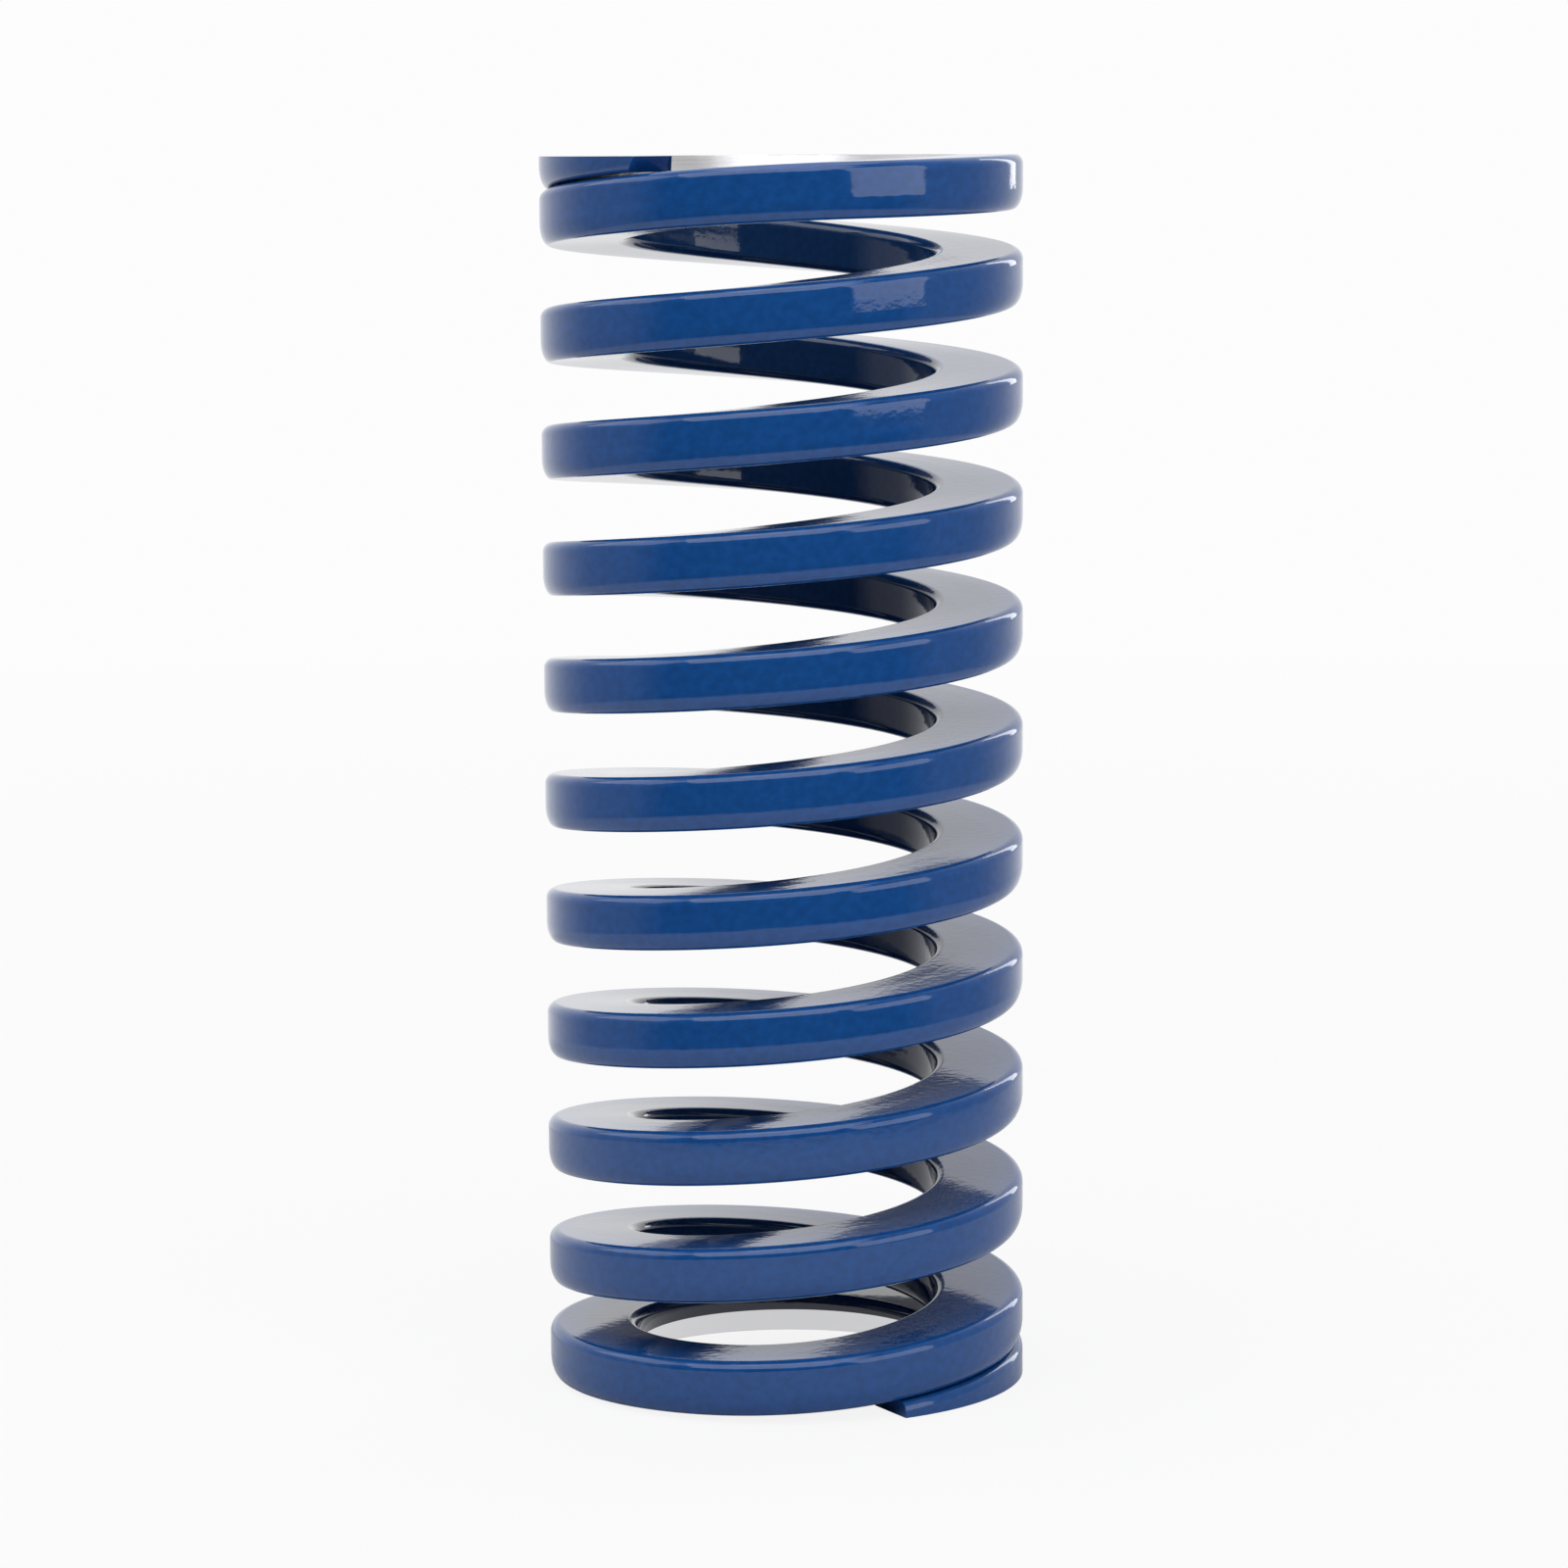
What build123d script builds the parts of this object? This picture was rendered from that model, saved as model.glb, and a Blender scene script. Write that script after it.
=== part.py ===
"""A die spring, in millimetres: rectangular steel wire wound right-handed, its ends closed and ground flat.

The axis is Z, the spring stands on its lower ground end at z = 0, and -Y is its front.
"""

from build123d import *
from build123d.topology import SkipClean
from math import ceil
import os

# sizes of the spring
outer_diameter = 25.0
inner_diameter = 15.8
free_length = 64.0
total_turns = 11.8
start_angle = -57.0  # where the wire begins, in degrees from +X

# the wire, whose long side lies across the spring
wire_height = 2.85
corner_radius = 0.55

# the closed ends
tip_thickness = 0.8  # what grinding leaves of the wire where it is cut off
closed_gap = 0.12  # between the cut end and the next coil
cut_angle = 20.0  # the cut's face, in degrees from radial
end_chamfer = 1.45  # ground round the bore at both ends, at 45 degrees

# where the pitch changes, in turns from either end of the wire
tip_turns = 0.15  # the tip lies along the next coil, at its slope
ease_turns = 0.10  # then it flattens
open_turns = 0.15  # and before a full turn it opens to the active pitch

# how the solid is made
sections_per_turn = 24  # the coil is lofted through this many sections of the wire
stretch_turns = 0.5  # in stretches of at most this much
tip_stretch_turns = 0.25  # and one of this much at either end, to be cut off
offcut_turns = 0.05  # and what it has to spare
trim = 0.005  # the coil is wound this much too wide, and turned down to size
wall_arcs = 8  # its round walls are made in this many arcs

outer_radius = outer_diameter / 2
inner_radius = inner_diameter / 2
wire_width = outer_radius - inner_radius
mean_radius = (outer_radius + inner_radius) / 2

# the middle of the wire rises this much over the closed turn, and from end to end
closed_rise = wire_height + closed_gap
first_height = tip_thickness - wire_height / 2
total_rise = free_length - 2 * first_height
active_pitch = (total_rise - 2 * closed_rise) / (total_turns - 2)

# the closed turn: along the next coil, easing down, flat, and easing up again
flat_turns = 1 - tip_turns - ease_turns - open_turns
steep_rise = active_pitch * (tip_turns + ease_turns / 2 + open_turns / 2)
closed_pitch = (closed_rise - steep_rise) / (flat_turns + ease_turns / 2 + open_turns / 2)
pitches = [
    (0, active_pitch),
    (tip_turns, active_pitch),
    (tip_turns + ease_turns, closed_pitch),
    (1 - open_turns, closed_pitch),
    (1, active_pitch),
]


def rise(turn):
    """How far the middle of the wire has risen, this many turns from where it begins."""
    if turn > total_turns / 2:
        return total_rise - rise(total_turns - turn)
    height = active_pitch * (min(turn, 0) + max(turn - 1, 0))
    for (low, low_pitch), (high, high_pitch) in zip(pitches, pitches[1:]):
        part = min(max(turn, low), high) - low
        height += low_pitch * part + (high_pitch - low_pitch) * part**2 / (2 * (high - low))
    return height


def across(turn, askew=0):
    """The upright plane across the wire, this many turns along and turned so many degrees from radial."""
    outwards = Vector(1, 0, 0).rotate(Axis.Z, start_angle + 360 * turn)
    middle = outwards * mean_radius + Vector(0, 0, first_height + rise(turn))
    outwards = outwards.rotate(Axis.Z, askew)
    return Plane(origin=middle, x_dir=outwards, z_dir=Vector(0, 0, 1).cross(outwards))


def winding(first, last):
    """The wire between two places, lofted through its sections."""
    count = ceil((last - first) * sections_per_turn)
    places = [first + (last - first) * i / count for i in range(count + 1)]
    section = RectangleRounded(wire_width + 2 * trim, wire_height, corner_radius)
    return loft([across(place) * section for place in places]).solid()


def lower_tip():
    """The first stretch of wire, cut off askew, so that its outer corner stands out."""
    spare = winding(-offcut_turns, tip_stretch_turns)
    return split(spare, bisect_by=across(0, -cut_angle), keep=Keep.TOP).solid()


def upper_tip():
    """The last stretch: the first one turned end for end, about a level line across the spring."""
    middle = across(total_turns / 2)
    return lower_tip().rotate(Axis(middle.origin, middle.x_dir), 180)


def windings():
    """The wire between the tips, a stretch at a time."""
    turns = total_turns - 2 * tip_stretch_turns
    count = ceil(turns / stretch_turns)
    places = [tip_stretch_turns + turns * i / count for i in range(count + 1)]
    return [winding(first, last) for first, last in zip(places, places[1:])]


def round_wall(radius):
    """A circle in arcs, the outline of a round wall."""
    arc = 360 / wall_arcs
    return Wire(
        [Edge.make_circle(radius, start_angle=i * arc, end_angle=(i + 1) * arc) for i in range(wall_arcs)]
    )


def finished_size():
    """The ring that the spring fills: its round walls, the two planes it is ground to, and their chamfers."""
    ring = Solid.extrude(Face(round_wall(outer_radius), [round_wall(inner_radius)]), (0, 0, free_length))
    rims = [edge for edge in ring.edges().filter_by(GeomType.CIRCLE) if edge.radius < mean_radius]
    return ring.chamfer(end_chamfer, None, rims)


with SkipClean():
    coil = lower_tip() + [*windings(), upper_tip()]
    spring = coil & finished_size()

os.makedirs("parts", exist_ok=True)
export_step(spring, "parts/coil_spring.step")
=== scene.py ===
import bpy
from math import cos, pi, radians, sin, tau
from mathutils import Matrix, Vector


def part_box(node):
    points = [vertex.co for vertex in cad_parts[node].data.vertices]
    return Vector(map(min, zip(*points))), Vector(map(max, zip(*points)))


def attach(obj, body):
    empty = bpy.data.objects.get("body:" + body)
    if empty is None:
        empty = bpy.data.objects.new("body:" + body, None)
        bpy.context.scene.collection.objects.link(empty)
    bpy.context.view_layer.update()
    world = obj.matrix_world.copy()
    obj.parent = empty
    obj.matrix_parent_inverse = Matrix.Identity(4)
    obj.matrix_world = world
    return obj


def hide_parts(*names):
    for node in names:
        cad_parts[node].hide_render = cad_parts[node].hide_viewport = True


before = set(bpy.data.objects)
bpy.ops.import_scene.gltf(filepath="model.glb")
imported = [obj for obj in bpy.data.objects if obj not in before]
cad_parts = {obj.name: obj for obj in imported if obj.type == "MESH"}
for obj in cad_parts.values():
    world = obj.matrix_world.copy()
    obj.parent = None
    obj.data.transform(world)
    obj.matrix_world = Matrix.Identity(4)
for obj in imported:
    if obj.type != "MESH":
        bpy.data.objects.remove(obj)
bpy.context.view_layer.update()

# COIL SPRING
# One length of rectangular spring steel, wound right-handed round a mandrel, its end turns closed on their
# neighbours and ground flat, then coated in blue enamel. It is made as it is wound: a straight bar with
# rounded corners is bent round the axis, and what comes beyond the two ground planes is taken off.
lowest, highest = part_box("coil_spring")
outer_diameter = highest.x - lowest.x
free_length = highest.z - lowest.z
inner_diameter = 0.0158
turns = 11.82
start_angle = radians(-61)
wire_height = 0.00285
corner_radius = 0.00052
lower_stretch = 2.2
inner_taper = 0.0003
tip_thickness = 0.0008
closed_gap = 0.00007
upper_cut_lean = radians(40)
end_chamfer = 0.00145
tip_turns = 0.15
ease_turns = 0.10
open_turns = 0.15
taper_from = 0.9
taper_to = 1.3
steps_per_turn = 120.0
corner_steps = 9
flush = 1e-7
join_within = 2e-6
smooth_below = radians(30)

first_height = tip_thickness - wire_height / 2
closed_rise = wire_height + closed_gap
active_pitch = (free_length - 2 * first_height - 2 * closed_rise) / (turns - 2)
eased_turns = (ease_turns + open_turns) / 2
flat_turns = 1 - tip_turns - ease_turns - open_turns
closed_pitch = (closed_rise - active_pitch * (tip_turns + eased_turns)) / (flat_turns + eased_turns)

bar_sizes = {
    "Outer Diameter": outer_diameter,
    "Inner Diameter": inner_diameter,
    "Free Length": free_length,
    "Turns": turns,
    "Start Angle": start_angle,
    "Wire Height": wire_height,
    "Corner Radius": corner_radius,
    "Lower Stretch": lower_stretch,
    "Inner Taper": inner_taper,
    "First Height": first_height,
    "Closed Pitch Share": closed_pitch / active_pitch,
    "Tip Turns": tip_turns,
    "Ease Turns": ease_turns,
    "Open Turns": open_turns,
    "Upper Cut Lean": upper_cut_lean,
    "End Chamfer": end_chamfer,
    "Steps per Turn": steps_per_turn,
}
winding = bpy.data.node_groups.new("spring_winding", "GeometryNodeTree")
winding.is_modifier = True
for size_name in bar_sizes:
    winding.interface.new_socket(size_name, in_out="INPUT", socket_type="NodeSocketFloat")
winding.interface.new_socket("Enamel", in_out="INPUT", socket_type="NodeSocketMaterial")
winding.interface.new_socket("Spring", in_out="OUTPUT", socket_type="NodeSocketGeometry")


def place(tree, kind, inputs=(), **settings):
    """A new node in the tree, with its settings made and its inputs given as values or as sockets."""
    node = tree.nodes.new(kind)
    for key, setting in settings.items():
        setattr(node, key, setting)
    for socket, content in dict(inputs).items():
        if isinstance(content, bpy.types.NodeSocket):
            tree.links.new(content, node.inputs[socket])
        else:
            node.inputs[socket].default_value = content
    return node


def sum_of(tree, operation, *terms):
    """One Math node's result."""
    kind = "ShaderNodeMath"
    return place(tree, kind, enumerate(terms), operation=operation).outputs[0]


def ramp(tree, value, start, end, first=0.0, last=1.0):
    """A straight ramp from first to last as the value goes from start to end, level beyond them."""
    limits = {"Value": value, "From Min": start, "From Max": end, "To Min": first, "To Max": last}
    return place(tree, "ShaderNodeMapRange", limits).outputs["Result"]


given = place(winding, "NodeGroupInput").outputs
outer_radius = sum_of(winding, "MULTIPLY", given["Outer Diameter"], 0.5)
inner_radius = sum_of(winding, "MULTIPLY", given["Inner Diameter"], 0.5)
wire_width = sum_of(winding, "SUBTRACT", outer_radius, inner_radius)
mean_radius = sum_of(winding, "MULTIPLY_ADD", wire_width, 0.5, inner_radius)

# the bar's line stands on the origin, and is as many units long as the spring has turns
line_end = place(winding, "ShaderNodeCombineXYZ", {"Z": given["Turns"]})
line = place(winding, "GeometryNodeCurvePrimitiveLine", {"End": line_end.outputs[0]})
steps = sum_of(winding, "MULTIPLY_ADD", given["Turns"], given["Steps per Turn"], 1.0)
stepped_line = place(
    winding, "GeometryNodeResampleCurve", {"Curve": line.outputs["Curve"], "Count": steps}
)
bar_point = place(winding, "GeometryNodeInputPosition").outputs[0]
where = place(winding, "ShaderNodeSeparateXYZ", {0: bar_point})
turn = where.outputs["Z"]
turns_left = sum_of(winding, "SUBTRACT", given["Turns"], turn)
from_end = sum_of(winding, "MINIMUM", turn, turns_left)

# its pitch: the tip and the middle at the active pitch, the closed turn between them flatter
closes_by = sum_of(winding, "ADD", given["Tip Turns"], given["Ease Turns"])
opens_at = sum_of(winding, "SUBTRACT", 1.0, given["Open Turns"])
closing = ramp(winding, from_end, given["Tip Turns"], closes_by)
opening = ramp(winding, from_end, opens_at, 1.0, 1.0, 0.0)
closed_share = sum_of(winding, "SUBTRACT", given["Closed Pitch Share"], 1.0)
closed = sum_of(winding, "MULTIPLY", closing, opening)
pitch = sum_of(winding, "MULTIPLY_ADD", closed, closed_share, 1.0)
climb = place(winding, "GeometryNodeAccumulateField", {"Value": pitch})
climbed_twice = sum_of(winding, "ADD", climb.outputs["Leading"], climb.outputs["Trailing"])
climbed = sum_of(winding, "MULTIPLY_ADD", climbed_twice, 0.5, -0.5)
whole_climb = sum_of(winding, "SUBTRACT", climb.outputs["Total"], 1.0)
climbed_share = sum_of(winding, "DIVIDE", climbed, whole_climb)
whole_rise = sum_of(winding, "MULTIPLY_ADD", given["First Height"], -2.0, given["Free Length"])
height = sum_of(winding, "MULTIPLY_ADD", climbed_share, whole_rise, given["First Height"])
raised = place(winding, "GeometryNodeCaptureAttribute", {0: stepped_line.outputs[0]})
raised.capture_items.new("FLOAT", "Height")
winding.links.new(height, raised.inputs["Height"])

# its section: a rectangle with rounded corners, the lower outer one drawn out upwards
outline = place(
    winding,
    "GeometryNodeCurvePrimitiveQuadrilateral",
    {"Width": wire_width, "Height": given["Wire Height"]},
)
rounded_outline = place(
    winding,
    "GeometryNodeFilletCurve",
    {"Curve": outline.outputs[0], "Radius": given["Corner Radius"], "Count": corner_steps},
    mode="POLY",
)
outline_point = place(winding, "GeometryNodeInputPosition").outputs[0]
on_outline = place(winding, "ShaderNodeSeparateXYZ", {0: outline_point})
above_bottom = sum_of(winding, "MULTIPLY_ADD", given["Wire Height"], 0.5, on_outline.outputs["Y"])
is_outer = sum_of(winding, "GREATER_THAN", on_outline.outputs["X"], 0.0)
in_lower_corner = sum_of(
    winding, "LESS_THAN", above_bottom, sum_of(winding, "MULTIPLY", given["Corner Radius"], 1.01)
)
stretch_more = sum_of(winding, "SUBTRACT", given["Lower Stretch"], 1.0)
is_lower_outer = sum_of(winding, "MULTIPLY", is_outer, in_lower_corner)
stretch = sum_of(winding, "MULTIPLY", is_lower_outer, stretch_more)
drawn_up = place(
    winding, "ShaderNodeCombineXYZ", {"Y": sum_of(winding, "MULTIPLY", above_bottom, stretch)}
)
drawn_outline = place(
    winding,
    "GeometryNodeSetPosition",
    {"Geometry": rounded_outline.outputs[0], "Offset": drawn_up.outputs[0]},
)

# the inner wall has one more row of points, for the chamfer to begin at
inner_wall = sum_of(winding, "MULTIPLY", wire_width, -0.5)
on_inner_wall = place(
    winding,
    "FunctionNodeCompare",
    {"A": on_outline.outputs["X"], "B": inner_wall, "Epsilon": flush},
    operation="EQUAL",
)
full_outline = place(
    winding,
    "GeometryNodeSubdivideCurve",
    {"Curve": drawn_outline.outputs[0], "Cuts": on_inner_wall.outputs[0]},
)
bar = place(
    winding,
    "GeometryNodeCurveToMesh",
    {"Curve": raised.outputs[0], "Profile Curve": full_outline.outputs[0], "Fill Caps": True},
)
outward_bar = place(winding, "GeometryNodeFlipFaces", {0: bar.outputs[0]})

# the bar is laid at its height and ground: its ends flat, and their inner edges at 45 degrees
middle_height = raised.outputs["Height"]
minus_corner = sum_of(winding, "MULTIPLY", given["Corner Radius"], -1.0)
half_wall = sum_of(winding, "MULTIPLY_ADD", given["Wire Height"], 0.5, minus_corner)
upper_half = sum_of(winding, "GREATER_THAN", turn, turns_left)
far_rim = sum_of(winding, "SUBTRACT", given["Free Length"], given["End Chamfer"])
rim_span = sum_of(winding, "SUBTRACT", far_rim, given["End Chamfer"])
rim = sum_of(winding, "MULTIPLY_ADD", upper_half, rim_span, given["End Chamfer"])
rim_above = sum_of(winding, "SUBTRACT", rim, middle_height)
wall_foot = sum_of(winding, "MULTIPLY", half_wall, -1.0)
rim_up = sum_of(winding, "MAXIMUM", sum_of(winding, "MINIMUM", rim_above, half_wall), wall_foot)
in_extra_row = sum_of(winding, "LESS_THAN", sum_of(winding, "ABSOLUTE", where.outputs["Y"]), 1e-6)
square_up = sum_of(winding, "MULTIPLY_ADD", in_extra_row, rim_up, where.outputs["Y"])
inward = sum_of(winding, "SUBTRACT", 0.5, sum_of(winding, "DIVIDE", where.outputs["X"], wire_width))
downward = sum_of(winding, "SUBTRACT", 0.5, sum_of(winding, "DIVIDE", square_up, given["Wire Height"]))
tapered = ramp(winding, from_end, taper_from, taper_to)
taper = sum_of(winding, "MULTIPLY", tapered, given["Inner Taper"])
taper_share = sum_of(winding, "MULTIPLY", inward, sum_of(winding, "MULTIPLY", downward, taper))
bar_up = sum_of(winding, "ADD", taper_share, square_up)
level = sum_of(winding, "ADD", middle_height, bar_up)
ground_level = sum_of(winding, "MAXIMUM", sum_of(winding, "MINIMUM", level, given["Free Length"]), 0.0)
level_left = sum_of(winding, "SUBTRACT", given["Free Length"], ground_level)
from_plane = sum_of(winding, "MINIMUM", ground_level, level_left)
rim_radius = sum_of(winding, "ADD", inner_radius, given["End Chamfer"])
bored_radius = sum_of(winding, "SUBTRACT", rim_radius, from_plane)
bar_radius = sum_of(winding, "ADD", mean_radius, where.outputs["X"])
radius = sum_of(winding, "MAXIMUM", bar_radius, bored_radius)
on_plane = sum_of(winding, "LESS_THAN", from_plane, flush)
on_chamfer = sum_of(winding, "LESS_THAN", sum_of(winding, "SUBTRACT", radius, bored_radius), flush)
is_ground = sum_of(winding, "MAXIMUM", on_plane, on_chamfer)
ground_corners = place(winding, "GeometryNodeFieldOnDomain", {0: is_ground}, domain="POINT")
whole_face_ground = sum_of(winding, "GREATER_THAN", ground_corners.outputs[0], 0.99)

# the bar's own place along, across and up the wire stays with it, for the enamel's texture
along = sum_of(winding, "MULTIPLY", turn, sum_of(winding, "MULTIPLY", mean_radius, tau))
place_on_bar = place(
    winding,
    "ShaderNodeCombineXYZ",
    {"X": along, "Y": where.outputs["X"], "Z": bar_up},
)
marked_bar = place(
    winding,
    "GeometryNodeStoreNamedAttribute",
    {"Geometry": outward_bar.outputs[0], "Name": "bar_place", "Value": place_on_bar.outputs[0]},
    data_type="FLOAT_VECTOR",
)
ground_bar = place(
    winding,
    "GeometryNodeStoreNamedAttribute",
    {"Geometry": marked_bar.outputs[0], "Name": "ground_steel", "Value": whole_face_ground},
    data_type="FLOAT",
    domain="FACE",
)

# and it is bent round the axis, its upper end cut at a lean
cut_slope = sum_of(winding, "TANGENT", given["Upper Cut Lean"])
cut_back = sum_of(winding, "DIVIDE", sum_of(winding, "MULTIPLY", from_plane, cut_slope), radius)
near_cut = ramp(winding, turns_left, 0.0, given["Tip Turns"], 1.0, 0.0)
cut_turn = sum_of(winding, "MULTIPLY", cut_back, near_cut)
wound_angle = sum_of(winding, "MULTIPLY_ADD", turn, tau, given["Start Angle"])
angle = sum_of(winding, "SUBTRACT", wound_angle, cut_turn)
wound_place = place(
    winding,
    "ShaderNodeCombineXYZ",
    {
        "X": sum_of(winding, "MULTIPLY", radius, sum_of(winding, "COSINE", angle)),
        "Y": sum_of(winding, "MULTIPLY", radius, sum_of(winding, "SINE", angle)),
        "Z": ground_level,
    },
)
wound = place(
    winding,
    "GeometryNodeSetPosition",
    {"Geometry": ground_bar.outputs[0], "Position": wound_place.outputs[0]},
)
merged = place(
    winding, "GeometryNodeMergeByDistance", {"Geometry": wound.outputs[0], "Distance": join_within}
)
bend = place(winding, "GeometryNodeInputMeshEdgeAngle").outputs["Unsigned Angle"]
smooth = place(
    winding,
    "GeometryNodeSetShadeSmooth",
    {"Geometry": merged.outputs[0], "Shade Smooth": sum_of(winding, "LESS_THAN", bend, smooth_below)},
    domain="EDGE",
)
realized = place(winding, "GeometryNodeRealizeInstances", {0: smooth.outputs[0]})
coated = place(
    winding,
    "GeometryNodeSetMaterial",
    {"Geometry": realized.outputs[0], "Material": given["Enamel"]},
)
place(winding, "NodeGroupOutput", {"Spring": coated.outputs[0]})

# the enamel: deep blue and glossy, with a light mottle, a fine orange peel and longer sags along the wire;
# the inside of the coils is painted a darker blue as painted shade, and shows the wire's draw lines; the
# ground ends are bare steel, marked round and round by the wheel
enamel_blue = (0.0070, 0.058, 0.218, 1.0)
# painted shade: the darker blue that the inner walls of the coils are mixed towards
painted_shade_blue = (0.006, 0.026, 0.085, 1.0)
bare_steel = (0.60, 0.60, 0.62, 1.0)
enamel_roughness = 0.075
steel_roughness = 0.3
inside_from = -0.0018
inside_to = -0.0022
peel_depth = 0.000006
sag_depth = 0.00003
draw_line_depth = 0.00008
wheel_mark_depth = 0.00001
enamel = bpy.data.materials.new("blue_enamel")
enamel.use_nodes = True
enamel.node_tree.nodes.clear()
paint = enamel.node_tree
bar_place = place(paint, "ShaderNodeAttribute", attribute_name="bar_place").outputs["Vector"]
steel_mask = place(paint, "ShaderNodeAttribute", attribute_name="ground_steel").outputs["Fac"]
peel = place(paint, "ShaderNodeTexNoise", {"Vector": bar_place, "Scale": 2200.0, "Detail": 2.0})
stretched = place(
    paint, "ShaderNodeVectorMath", {0: bar_place, 1: (0.35, 1.0, 1.0)}, operation="MULTIPLY"
)
sag = place(paint, "ShaderNodeTexNoise", {"Vector": stretched.outputs[0], "Scale": 350.0, "Detail": 1.0})
across_bar = place(paint, "ShaderNodeSeparateXYZ", {0: bar_place}).outputs["Y"]
# how far towards the inside of the wire the painted shade and the draw lines reach
inside = ramp(paint, across_bar, inside_from, inside_to)
drawn_out = place(
    paint, "ShaderNodeVectorMath", {0: bar_place, 1: (0.05, 1.0, 1.0)}, operation="MULTIPLY"
)
draw_lines = place(
    paint, "ShaderNodeTexNoise", {"Vector": drawn_out.outputs[0], "Scale": 750.0, "Detail": 1.0}
)
line_height = sum_of(paint, "MULTIPLY", draw_lines.outputs[0], inside)
wheel_marks = place(
    paint, "ShaderNodeTexNoise", {"Vector": drawn_out.outputs[0], "Scale": 6000.0, "Detail": 2.0}
)
mark_height = sum_of(paint, "MULTIPLY", wheel_marks.outputs[0], steel_mask)
mark_bump = place(
    paint, "ShaderNodeBump", {"Height": mark_height, "Strength": 1.0, "Distance": wheel_mark_depth}
)
line_bump = place(
    paint,
    "ShaderNodeBump",
    {"Height": line_height, "Strength": 1.0, "Distance": draw_line_depth, "Normal": mark_bump.outputs[0]},
)
peel_bump = place(
    paint,
    "ShaderNodeBump",
    {"Height": peel.outputs[0], "Strength": 1.0, "Distance": peel_depth, "Normal": line_bump.outputs[0]},
)
sag_bump = place(
    paint,
    "ShaderNodeBump",
    {"Height": sag.outputs[0], "Strength": 1.0, "Distance": sag_depth, "Normal": peel_bump.outputs[0]},
)
# painted shade: the enamel turns to the darker blue on the inner side of the wire
shaded_enamel = place(paint, "ShaderNodeMix", {0: inside, 6: enamel_blue, 7: painted_shade_blue}, data_type="RGBA")
mottle = ramp(paint, peel.outputs[0], 0.35, 0.65, 0.90, 1.10)
mottled = place(
    paint, "ShaderNodeVectorMath", {"Vector": shaded_enamel.outputs[2], "Scale": mottle}, operation="SCALE"
)
coat_colour = place(
    paint, "ShaderNodeMix", {0: steel_mask, 6: mottled.outputs[0], 7: bare_steel}, data_type="RGBA"
)
coat_roughness = place(
    paint,
    "ShaderNodeMapRange",
    {"Value": steel_mask, "To Min": enamel_roughness, "To Max": steel_roughness},
)
gloss = place(
    paint,
    "ShaderNodeBsdfPrincipled",
    {
        "Base Color": coat_colour.outputs[2],
        "Metallic": steel_mask,
        "Roughness": coat_roughness.outputs[0],
        "IOR": 1.5,
        "Normal": sag_bump.outputs[0],
    },
)
place(paint, "ShaderNodeOutputMaterial", {"Surface": gloss.outputs[0]})

base = bpy.data.objects.new("coil", bpy.data.meshes.new("coil"))
bpy.context.scene.collection.objects.link(base)
wind = base.modifiers.new("wind", "NODES")
wind.node_group = winding
socket_ids = {
    entry.name: entry.identifier for entry in winding.interface.items_tree if entry.in_out == "INPUT"
}
for size_name, size in bar_sizes.items():
    wind[socket_ids[size_name]] = size
wind[socket_ids["Enamel"]] = enamel
seen_spring = base.evaluated_get(bpy.context.evaluated_depsgraph_get())
coil_mesh = bpy.data.meshes.new_from_object(seen_spring)
base.modifiers.remove(wind)
base.data = coil_mesh
base.name = "enamelled_coil"
even = base.modifiers.new("even_faces", "WEIGHTED_NORMAL")
even.keep_sharp = True
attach(base, "root")
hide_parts("coil_spring")

# STUDIO SURROUNDINGS
# What the gloss sees round the spring, level with it: a bright white sweep behind, dim white sides, and the
# dark room in front, all a little brighter on the left. It depends on the direction alone.
surround = bpy.data.node_groups.new("surround", "ShaderNodeTree")
surround.interface.new_socket("Direction", in_out="INPUT", socket_type="NodeSocketVector")
surround.interface.new_socket("Brightness", in_out="OUTPUT", socket_type="NodeSocketFloat")
direction = place(surround, "NodeGroupInput").outputs[0]
level_direction = place(
    surround, "ShaderNodeVectorMath", {0: direction, 1: (1.0, 1.0, 0.0)}, operation="MULTIPLY"
)
unit_direction = place(
    surround, "ShaderNodeVectorMath", {0: level_direction.outputs[0]}, operation="NORMALIZE"
)
unit_parts = place(surround, "ShaderNodeSeparateXYZ", {0: unit_direction.outputs[0]}).outputs
from_front = sum_of(surround, "MULTIPLY_ADD", unit_parts["Y"], 0.5, 0.5)
steps_round = place(surround, "ShaderNodeValToRGB", {"Fac": from_front})
steps_round.color_ramp.elements[0].position = 0.22
steps_round.color_ramp.elements[0].color = (0.01, 0.01, 0.01, 1)
steps_round.color_ramp.elements[1].position = 0.92
steps_round.color_ramp.elements[1].color = (0.85, 0.85, 0.85, 1)
for position, grey in ((0.38, 0.32), (0.62, 0.35), (0.80, 0.62)):
    steps_round.color_ramp.elements.new(position).color = (grey, grey, grey, 1)
left_lift = sum_of(surround, "MULTIPLY_ADD", unit_parts["X"], -0.1, 1.2)
brightness = sum_of(surround, "MULTIPLY", steps_round.outputs["Color"], left_lift)
place(surround, "NodeGroupOutput", {0: brightness})

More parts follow.
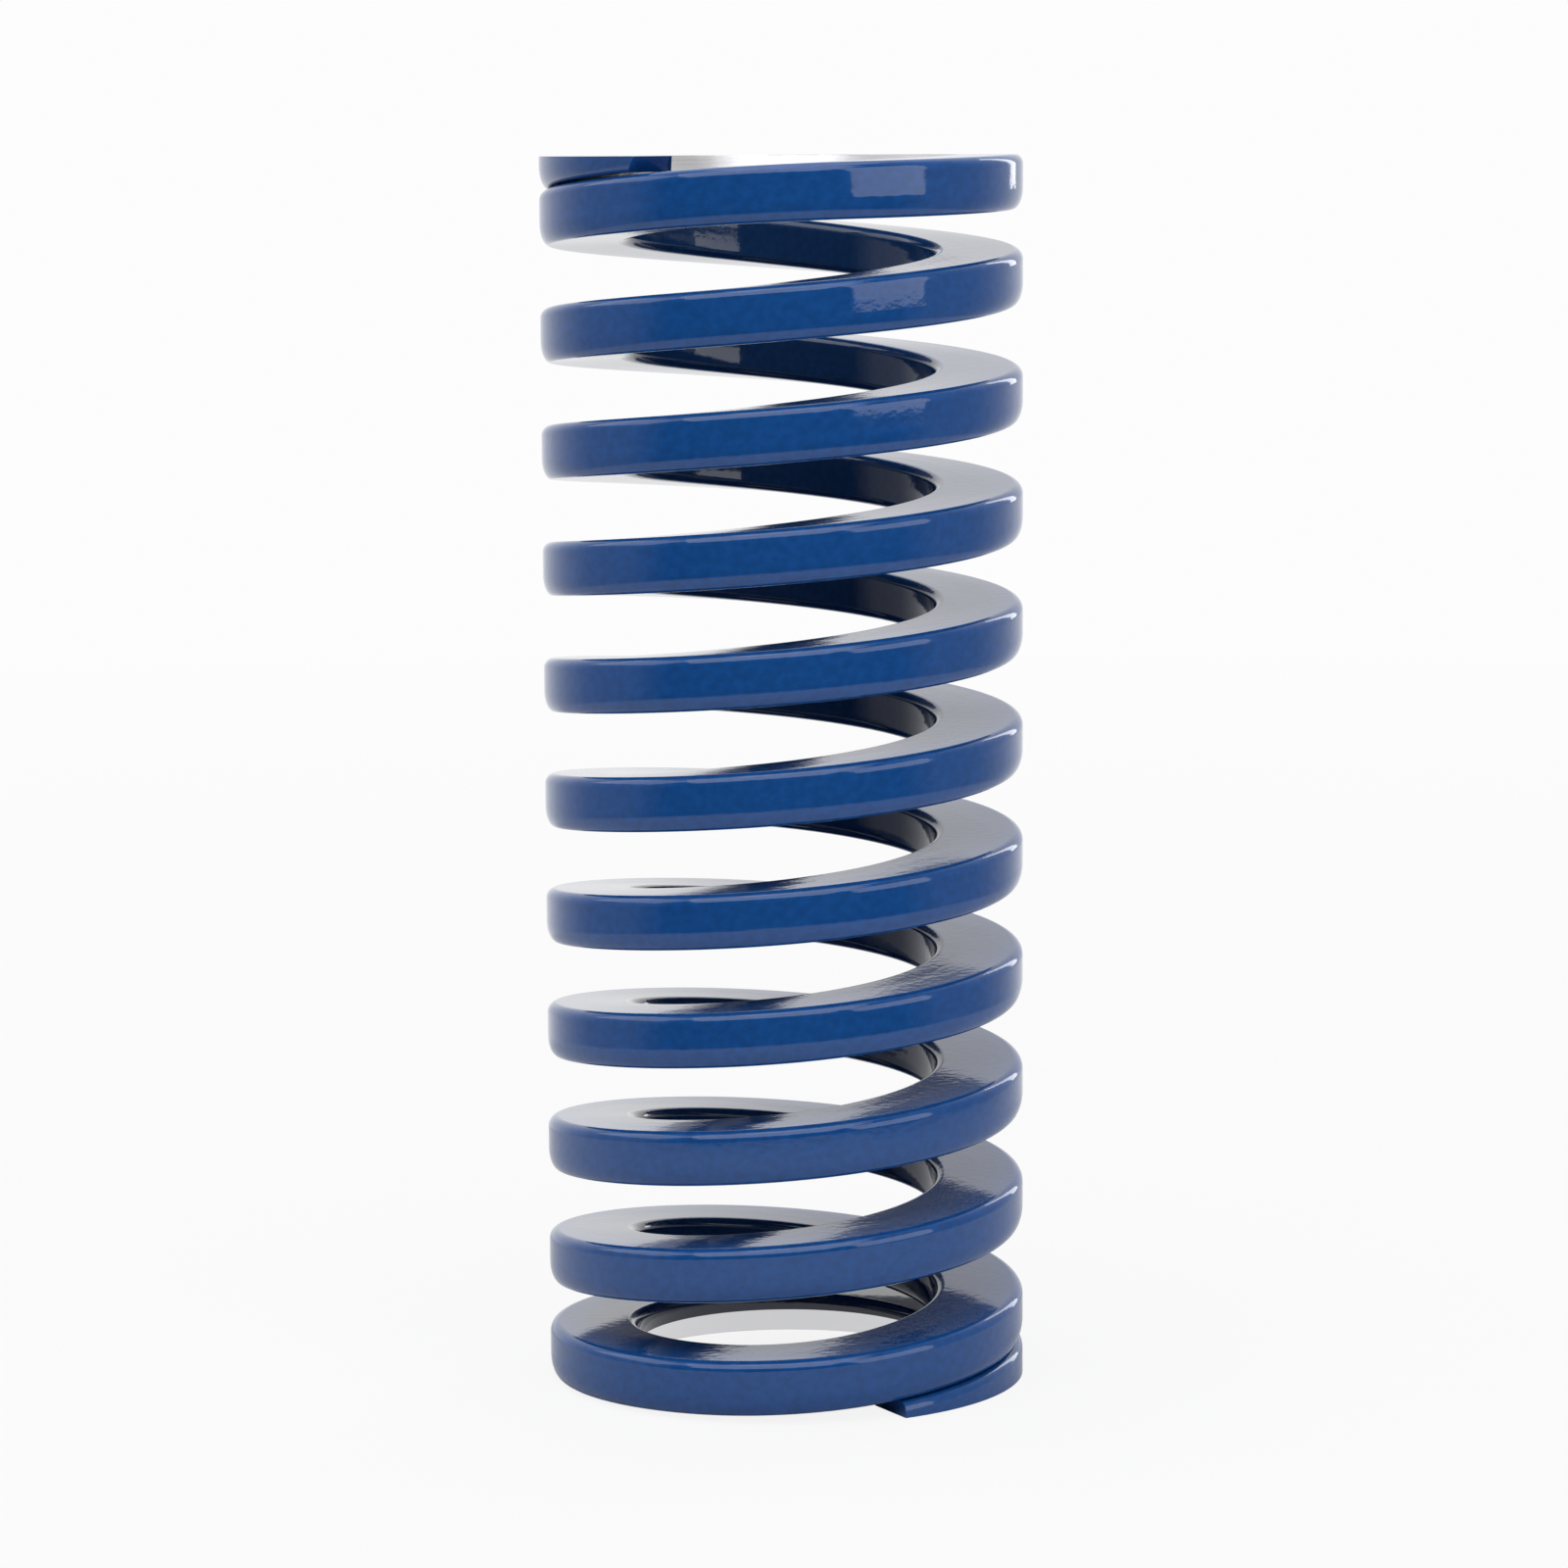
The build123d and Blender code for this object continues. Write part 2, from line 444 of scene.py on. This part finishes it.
# TABLE
# A plain white table that the spring stands on. The camera sees it lit up, with a trace of the spring's
# shadow. The gloss sees a painted glow on it inside the bore, matt close round the spring, and farther out
# it looks like the surroundings.
table_grey = (0.62, 0.62, 0.62, 1.0)
white = 0.98
near_edge = 0.075
far_edge = 0.105
bore_front = -0.003
table_top = bpy.data.materials.new("table_white")
table_top.use_nodes = True
table_top.node_tree.nodes.clear()
cloth = table_top.node_tree
table_point = place(cloth, "ShaderNodeNewGeometry").outputs["Position"]
reach = place(cloth, "ShaderNodeVectorMath", {0: table_point}, operation="LENGTH")
out_from_spring = reach.outputs["Value"]
ray = place(cloth, "ShaderNodeLightPath").outputs
# painted glow: inside the bore the table glows white for the gloss, a painted reflection for the inner
# walls and chamfer
bore_floor = sum_of(cloth, "LESS_THAN", out_from_spring, inner_diameter / 2 + end_chamfer)
depth = place(cloth, "ShaderNodeSeparateXYZ", {0: table_point}).outputs["Y"]
painted_bore_glow = sum_of(cloth, "MULTIPLY", bore_floor, sum_of(cloth, "GREATER_THAN", depth, bore_front))
past_near = ramp(cloth, out_from_spring, near_edge, far_edge)
gloss_glow = sum_of(cloth, "MAXIMUM", painted_bore_glow, past_near)
camera_glow = ramp(cloth, out_from_spring, 0.04, 0.4, 0.90, 1.0)
gloss_share = sum_of(cloth, "MULTIPLY", gloss_glow, ray["Is Glossy Ray"])
glow_share = place(cloth, "ShaderNodeMix", {0: ray["Is Camera Ray"], 2: gloss_share, 3: camera_glow})
far_look = place(cloth, "ShaderNodeGroup", node_tree=surround)
cloth.links.new(table_point, far_look.inputs[0])
gloss_look = place(cloth, "ShaderNodeMix", {0: past_near, 2: 1.0, 3: far_look.outputs[0]})
lit_look = place(cloth, "ShaderNodeMix", {0: ray["Is Camera Ray"], 2: gloss_look.outputs[0], 3: white})
glow = place(cloth, "ShaderNodeEmission", {"Strength": lit_look.outputs[0]})
matt = place(cloth, "ShaderNodeBsdfDiffuse", {"Color": table_grey})
table_look = place(
    cloth, "ShaderNodeMixShader", {0: glow_share.outputs[0], 1: matt.outputs[0], 2: glow.outputs[0]}
)
place(cloth, "ShaderNodeOutputMaterial", {"Surface": table_look.outputs[0]})
table_mesh = bpy.data.meshes.new("table")
table_mesh.from_pydata([(-3, -3, 0), (3, -3, 0), (3, 3, 0), (-3, 3, 0)], [], [(0, 1, 2, 3)])
table_mesh.materials.append(table_top)
table = bpy.data.objects.new("table", table_mesh)
bpy.context.scene.collection.objects.link(table)

# LIGHT
# Five soft boxes: a large one above and in front, one low on the right, one on the left, one straight
# overhead, and a narrow strip behind on the right. The surroundings fill in.
spring_middle = Vector((0.0, 0.0, free_length / 2))


def soft_box(name, azimuth, elevation, distance, width, height, brightness):
    """A soft box that faces the spring, its azimuth counted from the front, plus to the right."""
    lamp = bpy.data.lights.new(name, "AREA")
    lamp.shape = "RECTANGLE"
    lamp.size = width
    lamp.size_y = height
    lamp.energy = brightness * width * height * pi
    box = bpy.data.objects.new(name, lamp)
    bpy.context.scene.collection.objects.link(box)
    towards = Vector((sin(azimuth) * cos(elevation), -cos(azimuth) * cos(elevation), sin(elevation)))
    box.location = spring_middle + towards * distance
    box.rotation_euler = towards.to_track_quat("Z", "Y").to_euler()


soft_box("overhead_box", radians(-15), radians(54), 0.6, 0.75, 0.55, 2.25)
soft_box("right_box", radians(52), radians(22.5), 0.55, 0.40, 0.46, 2.0)
soft_box("left_box", radians(-95), radians(40), 0.6, 0.5, 0.3, 1.4)
soft_box("top_box", 0.0, radians(90), 0.6, 0.4, 0.4, 1.5)
soft_box("rear_strip", radians(143), radians(20), 0.55, 0.09, 0.35, 3.2)

world = bpy.data.worlds.new("studio")
bpy.context.scene.world = world
world.use_nodes = True
sky = world.node_tree
sky.nodes.clear()
sky_direction = place(sky, "ShaderNodeTexCoord").outputs["Generated"]
round_look = place(sky, "ShaderNodeGroup", node_tree=surround)
sky.links.new(sky_direction, round_look.inputs[0])
sky_ray = place(sky, "ShaderNodeLightPath").outputs
sky_look = place(sky, "ShaderNodeMix", {0: sky_ray["Is Camera Ray"], 2: round_look.outputs[0], 3: white})
air = place(sky, "ShaderNodeBackground", {"Color": (1.0, 1.0, 1.0, 1.0), "Strength": sky_look.outputs[0]})
place(sky, "ShaderNodeOutputWorld", {"Surface": air.outputs[0]})

# CAMERA
# It stands level with the top of the spring and looks down at its middle.
camera = bpy.data.objects.new("camera", bpy.data.cameras.new("camera"))
bpy.context.scene.collection.objects.link(camera)
camera.data.sensor_width = 36.0
camera.data.lens = 119.8
camera.location = (-0.00006, -0.2713, 0.0644)
aim = Vector((0.0, 0.0, 0.0313)) - camera.location
camera.rotation_euler = aim.to_track_quat("-Z", "Y").to_euler()
camera.rotation_euler.rotate_axis("Z", radians(-0.29))
camera.data.clip_start = 0.01
bpy.context.scene.camera = camera
bpy.context.scene.view_settings.view_transform = "Standard"
